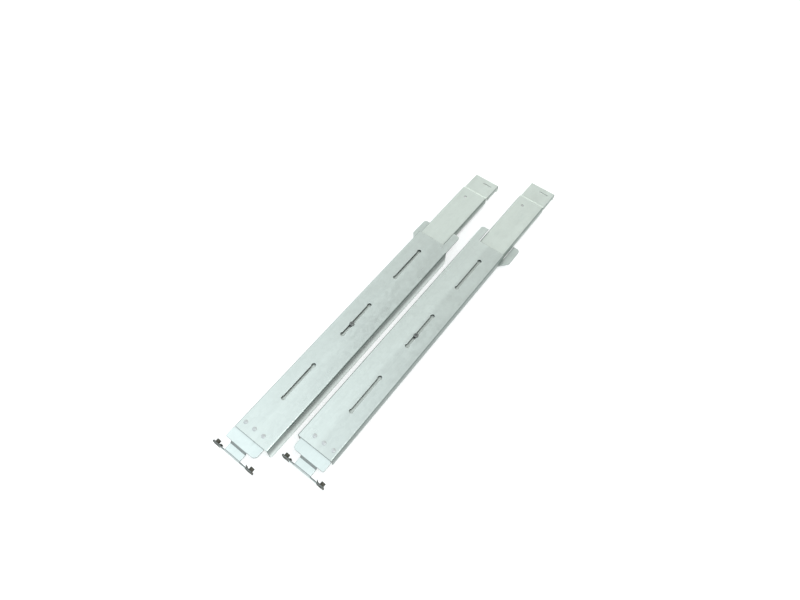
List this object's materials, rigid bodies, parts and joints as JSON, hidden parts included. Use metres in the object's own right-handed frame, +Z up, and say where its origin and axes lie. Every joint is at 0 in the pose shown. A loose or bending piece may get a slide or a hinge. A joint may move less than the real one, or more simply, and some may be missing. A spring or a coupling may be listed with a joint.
{
  "type": "sliding server rail pair",
  "caption": "Pair of telescoping folded-steel rack rails, each with a front flange with spring clip nuts, a support ledge and a slotted channel over a slider.",
  "frame": {"origin": "centre of the pair's box, on the table that both rails stand on", "axes": "+X from the front flanges to the rear flanges, +Y from the left-hand rail towards the right-hand rail, +Z up, out of the outer faces of the webs"},
  "size_m": [0.8004, 0.1946, 0.0365],
  "materials": {
    "channel_zinc": "galvanised sheet, satin",
    "bracket_zinc": "galvanised sheet, satin",
    "slider_zinc": "galvanised sheet, satin",
    "rivet_steel": "zinc plated, bright",
    "spring_steel": "black phosphate",
    "black_screw": "black oxide",
    "plated_steel": "zinc plated"
  },
  "bodies": {
    "right_rail": {"right_channel": "channel_zinc", "right_front_bracket": "bracket_zinc", "right_upper_rivet": "rivet_steel", "right_middle_rivet": "rivet_steel", "right_lower_rivet": "rivet_steel", "right_upper_clip_nut": "spring_steel", "right_lower_clip_nut": "spring_steel"},
    "right_slide": {"right_slider": "slider_zinc", "right_upper_weld_nut": "plated_steel", "right_lower_weld_nut": "plated_steel", "right_lock_screw": "black_screw", "right_lock_nut": "plated_steel"},
    "left_rail": {"left_channel": "channel_zinc", "left_front_bracket": "bracket_zinc", "left_upper_rivet": "rivet_steel", "left_middle_rivet": "rivet_steel", "left_lower_rivet": "rivet_steel", "left_upper_clip_nut": "spring_steel", "left_lower_clip_nut": "spring_steel"},
    "left_slide": {"left_slider": "slider_zinc", "left_upper_weld_nut": "plated_steel", "left_lower_weld_nut": "plated_steel", "left_lock_screw": "black_screw", "left_lock_nut": "plated_steel"}
  },
  "joints": [
    {"name": "right_slider_travel", "type": "slide", "parent": "right_rail", "child": "right_slide", "axis": [1, 0, 0], "range_m": [-0.026, 0.05]},
    {"name": "left_slider_travel", "type": "slide", "parent": "left_rail", "child": "left_slide", "axis": [1, 0, 0], "range_m": [-0.026, 0.05]},
    {"name": "left_rail_shift", "type": "slide", "parent": "right_rail", "child": "left_rail", "axis": [1, 0, 0], "range_m": [-0.0515, 0]}
  ]
}
